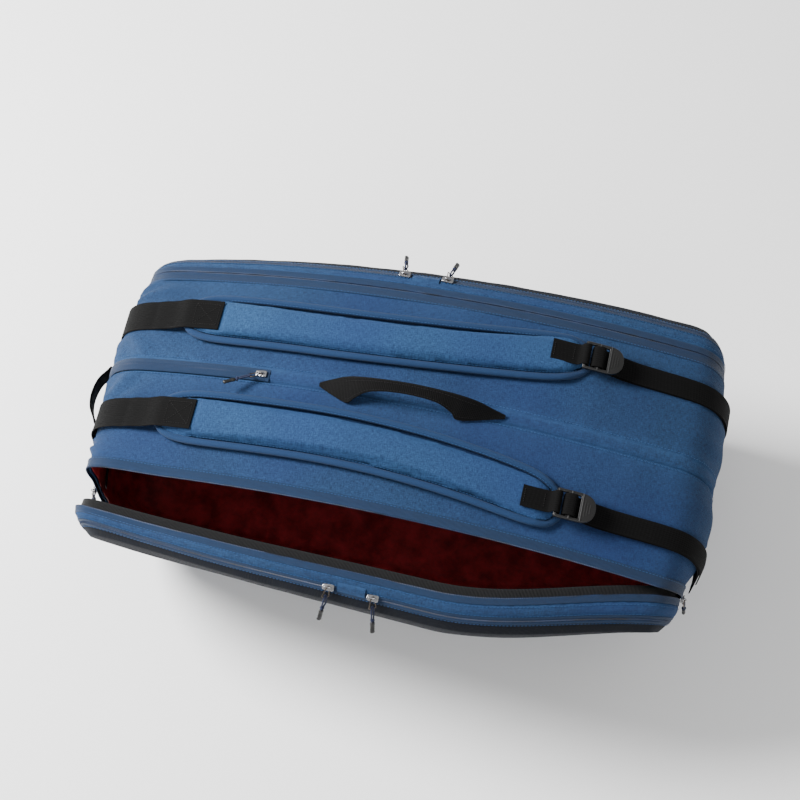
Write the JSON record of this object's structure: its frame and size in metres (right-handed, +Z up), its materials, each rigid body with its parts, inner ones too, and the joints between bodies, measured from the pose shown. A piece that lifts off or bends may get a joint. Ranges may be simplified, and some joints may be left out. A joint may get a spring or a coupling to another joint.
{
  "type": "racket tournament bag",
  "caption": "Soft racket bag lying on its front: arched strap side, shoulder pads, side covers with pockets that swing open over the racket compartments, zips, buckles and a webbing handle.",
  "frame": {"origin": "middle of the bounding box's floor, on the surface the bag lies on", "axes": "+X towards the racket heads, -Y towards the open compartment, +Z up through the strap side"},
  "size_m": [0.7782, 0.4838, 0.3758],
  "materials": {
    "shell_fabric": "blue melange polyester weave",
    "pad_fabric": "blue melange weave over foam, corded edge",
    "zip_tape": "smooth blue zip tape with coil",
    "thermal_lining": "dark red shiny lining",
    "inner_lining": "dark grey smooth lining",
    "webbing": "black woven webbing",
    "moulded_black": "satin black moulding",
    "zip_slider": "bright plated metal",
    "zip_pull": "navy cord with black moulded end"
  },
  "bodies": {
    "bag": {"strap_panel_far": "shell_fabric", "front_panel_far": "shell_fabric", "lining_far": "thermal_lining", "divider_far": "inner_lining", "main_zip_tape_far": "zip_tape", "main_zip_teeth_far": "zip_tape", "cover_hinge_far": "shell_fabric", "anchor_webbing_far": "webbing", "adjust_webbing_far": "webbing", "strap_panel_near": "shell_fabric", "front_panel_near": "shell_fabric", "lining_near": "thermal_lining", "divider_near": "inner_lining", "main_zip_tape_near": "zip_tape", "main_zip_teeth_near": "zip_tape", "cover_hinge_near": "shell_fabric", "anchor_webbing_near": "webbing", "adjust_webbing_near": "webbing", "centre_zip_tape": "zip_tape", "centre_welt": "shell_fabric", "centre_zip_coil": "zip_tape", "end_handle": "webbing"},
    "far_cover": {"cover_zip_far": "zip_tape", "cover_lining_far": "inner_lining", "cover_gusset_far": "shell_fabric", "pocket_zip_far": "zip_tape", "pocket_tab_far": "shell_fabric", "pocket_lid_far": "shell_fabric"},
    "far_pad": {"shoulder_pad_far": "pad_fabric", "buckle_loop_far": "webbing"},
    "far_ladder_lock": {"ladder_lock_far": "moulded_black"},
    "near_cover": {"cover_zip_near": "zip_tape", "cover_lining_near": "inner_lining", "cover_gusset_near": "shell_fabric", "pocket_zip_near": "zip_tape", "pocket_tab_near": "shell_fabric", "pocket_lid_near": "shell_fabric"},
    "near_pad": {"shoulder_pad_near": "pad_fabric", "buckle_loop_near": "webbing"},
    "near_ladder_lock": {"ladder_lock_near": "moulded_black"},
    "grab_handle": {"grab_handle": "webbing"},
    "centre_zip_slider": {"centre_zip_slider": "zip_slider"},
    "centre_zip_pull": {"centre_zip_pull": "zip_pull"},
    "main_zip_near_handle_end_slider": {"main_zip_near_handle_end_slider": "zip_slider"},
    "main_zip_near_handle_end_pull": {"main_zip_near_handle_end_pull": "zip_pull"},
    "main_zip_near_head_end_slider": {"main_zip_near_head_end_slider": "zip_slider"},
    "main_zip_near_head_end_pull": {"main_zip_near_head_end_pull": "zip_pull"},
    "main_zip_far_upper_slider": {"main_zip_far_upper_slider": "zip_slider"},
    "main_zip_far_upper_pull": {"main_zip_far_upper_pull": "zip_pull"},
    "main_zip_far_lower_slider": {"main_zip_far_lower_slider": "zip_slider"},
    "main_zip_far_lower_pull": {"main_zip_far_lower_pull": "zip_pull"},
    "pocket_far_handle_slider": {"pocket_far_handle_slider": "zip_slider"},
    "pocket_far_handle_pull": {"pocket_far_handle_pull": "zip_pull"},
    "pocket_far_head_slider": {"pocket_far_head_slider": "zip_slider"},
    "pocket_far_head_pull": {"pocket_far_head_pull": "zip_pull"},
    "pocket_near_handle_slider": {"pocket_near_handle_slider": "zip_slider"},
    "pocket_near_handle_pull": {"pocket_near_handle_pull": "zip_pull"},
    "pocket_near_head_slider": {"pocket_near_head_slider": "zip_slider"},
    "pocket_near_head_pull": {"pocket_near_head_pull": "zip_pull"}
  },
  "joints": [
    {"name": "far_cover_open", "type": "hinge", "parent": "bag", "child": "far_cover", "pos_m": [0.0011, 0.1723, 0.038], "axis": [-0.9998, -0.022, 0], "range_deg": [0, 50]},
    {"name": "far_pad_lift", "type": "hinge", "parent": "bag", "child": "far_pad", "pos_m": [-0.2819, 0.0983, 0.27547], "axis": [0, -1, 0], "range_deg": [0, 14], "deforming": ["anchor_webbing_far", "adjust_webbing_far"]},
    {"name": "far_lock_tilt", "type": "hinge", "parent": "far_pad", "child": "far_ladder_lock", "pos_m": [0.2071, 0.1273, 0.33721], "axis": [0, -1, 0], "range_deg": [0, 45]},
    {"name": "near_cover_open", "type": "hinge", "parent": "bag", "child": "near_cover", "pos_m": [0.0011, -0.1097, 0.038], "axis": [0.9998, -0.022, 0], "range_deg": [-15, 35]},
    {"name": "near_pad_lift", "type": "hinge", "parent": "bag", "child": "near_pad", "pos_m": [-0.2819, -0.0357, 0.27547], "axis": [0, -1, 0], "range_deg": [0, 14], "deforming": ["anchor_webbing_near", "adjust_webbing_near"]},
    {"name": "near_lock_tilt", "type": "hinge", "parent": "near_pad", "child": "near_ladder_lock", "pos_m": [0.2071, -0.0647, 0.33721], "axis": [0, -1, 0], "range_deg": [0, 45]},
    {"name": "grab_handle_swing", "type": "hinge", "parent": "bag", "child": "grab_handle", "pos_m": [-0.0959, 0.0313, 0.3213], "axis": [0.9993, 0, 0.0361], "range_deg": [-45, 58]},
    {"name": "centre_zip_slide", "type": "hinge", "parent": "bag", "child": "centre_zip_slider", "pos_m": [0.0611, 0.0313, -0.92], "axis": [0, 1, 0], "range_deg": [-6.2, 0]},
    {"name": "centre_zip_pull_swing", "type": "hinge", "parent": "centre_zip_slider", "child": "centre_zip_pull", "pos_m": [-0.16984, 0.0313, 0.31367], "axis": [-0.5408, 0.8412, 0], "range_deg": [0, 150]},
    {"name": "main_zip_near_handle_end_slide", "type": "slide", "parent": "bag", "child": "main_zip_near_handle_end_slider", "axis": [0, 0, 1], "range_m": [-0.045, 0.03]},
    {"name": "main_zip_near_handle_end_pull_swing", "type": "hinge", "parent": "main_zip_near_handle_end_slider", "child": "main_zip_near_handle_end_pull", "pos_m": [-0.3619, -0.10679, 0.165], "axis": [0, 1, 0], "range_deg": [0, 150]},
    {"name": "main_zip_near_head_end_slide", "type": "slide", "parent": "bag", "child": "main_zip_near_head_end_slider", "axis": [0, 0, 1], "range_m": [-0.045, 0.01]},
    {"name": "main_zip_near_head_end_pull_swing", "type": "hinge", "parent": "main_zip_near_head_end_slider", "child": "main_zip_near_head_end_pull", "pos_m": [0.3801, -0.12296, 0.2], "axis": [0, -1, 0], "range_deg": [0, 150]},
    {"name": "main_zip_far_upper_slide", "type": "slide", "parent": "bag", "child": "main_zip_far_upper_slider", "axis": [0, 0, 1], "range_m": [0, 0.02]},
    {"name": "main_zip_far_upper_pull_swing", "type": "hinge", "parent": "main_zip_far_upper_slider", "child": "main_zip_far_upper_pull", "pos_m": [-0.3619, 0.16939, 0.176], "axis": [0, 1, 0], "range_deg": [0, 150]},
    {"name": "main_zip_far_lower_slide", "type": "slide", "parent": "bag", "child": "main_zip_far_lower_slider", "axis": [0, 0, 1], "range_m": [-0.03, 0]},
    {"name": "main_zip_far_lower_pull_swing", "type": "hinge", "parent": "main_zip_far_lower_slider", "child": "main_zip_far_lower_pull", "pos_m": [-0.3619, 0.16939, 0.15], "axis": [0, 1, 0], "range_deg": [0, 150]},
    {"name": "pocket_far_handle_slide", "type": "hinge", "parent": "far_cover", "child": "pocket_far_handle_slider", "pos_m": [0.0611, 0.20424, -0.92], "axis": [-0.0378, 0.9993, 0], "range_deg": [-12, 0]},
    {"name": "pocket_far_handle_pull_swing", "type": "hinge", "parent": "pocket_far_handle_slider", "child": "pocket_far_handle_pull", "pos_m": [-0.02983, 0.20076, 0.31213], "axis": [1, 0, 0], "range_deg": [0, 100]},
    {"name": "pocket_far_head_slide", "type": "hinge", "parent": "far_cover", "child": "pocket_far_head_slider", "pos_m": [0.0611, 0.20424, -0.92], "axis": [-0.0378, 0.9993, 0], "range_deg": [0, 13]},
    {"name": "pocket_far_head_pull_swing", "type": "hinge", "parent": "pocket_far_head_slider", "child": "pocket_far_head_pull", "pos_m": [0.02354, 0.2028, 0.31491], "axis": [1, 0, 0], "range_deg": [0, 100]},
    {"name": "pocket_near_handle_slide", "type": "hinge", "parent": "near_cover", "child": "pocket_near_handle_slider", "pos_m": [0.06658, 0.10729, -0.89528], "axis": [0.0371, 0.9652, 0.2588], "range_deg": [-12, 0]},
    {"name": "pocket_near_handle_pull_swing", "type": "hinge", "parent": "pocket_near_handle_slider", "child": "pocket_near_handle_pull", "pos_m": [-0.03137, -0.2081, 0.29525], "axis": [-1, 0.0007, -0.0057], "range_deg": [0, 100]},
    {"name": "pocket_near_head_slide", "type": "hinge", "parent": "near_cover", "child": "pocket_near_head_slider", "pos_m": [0.06658, 0.10729, -0.89528], "axis": [0.0371, 0.9652, 0.2588], "range_deg": [0, 13]},
    {"name": "pocket_near_head_pull_swing", "type": "hinge", "parent": "pocket_near_head_slider", "child": "pocket_near_head_pull", "pos_m": [0.02199, -0.21083, 0.29771], "axis": [-1, 0.0007, -0.0057], "range_deg": [0, 100]}
  ]
}
